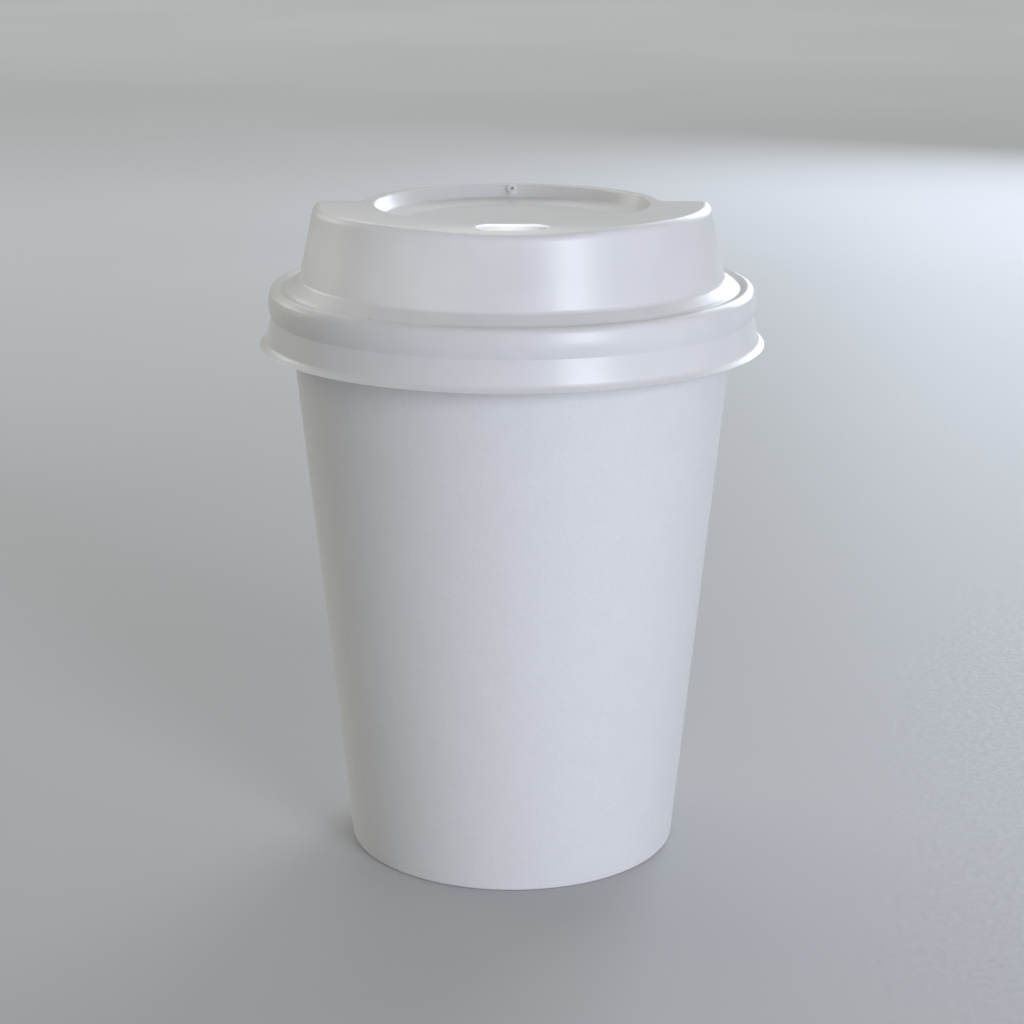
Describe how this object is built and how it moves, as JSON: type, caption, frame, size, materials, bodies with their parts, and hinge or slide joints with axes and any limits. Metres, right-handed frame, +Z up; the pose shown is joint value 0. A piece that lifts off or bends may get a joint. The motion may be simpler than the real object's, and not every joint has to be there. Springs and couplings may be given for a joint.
{
  "type": "paper coffee cup",
  "caption": "White takeaway hot cup of rolled-rim paperboard with a domed plastic travel lid that has a sip slot, a sunken top and a snap bead.",
  "frame": {"origin": "centre of the ring that the cup stands on", "axes": "+Z up along the cup's axis, -Y towards the sip slot, +Y towards the side seam"},
  "size_m": [0.0958, 0.0958, 0.1262],
  "materials": {
    "board": "matte, faintly fibrous",
    "lid_plastic": "satin"
  },
  "bodies": {
    "cup": {"cup_wall": "board", "cup_base": "board"},
    "lid": {"lid": "lid_plastic"}
  },
  "joints": [
    {"name": "lid_lift", "type": "slide", "parent": "cup", "child": "lid", "axis": [0, 0, 1], "range_m": [0, 0.04]}
  ]
}
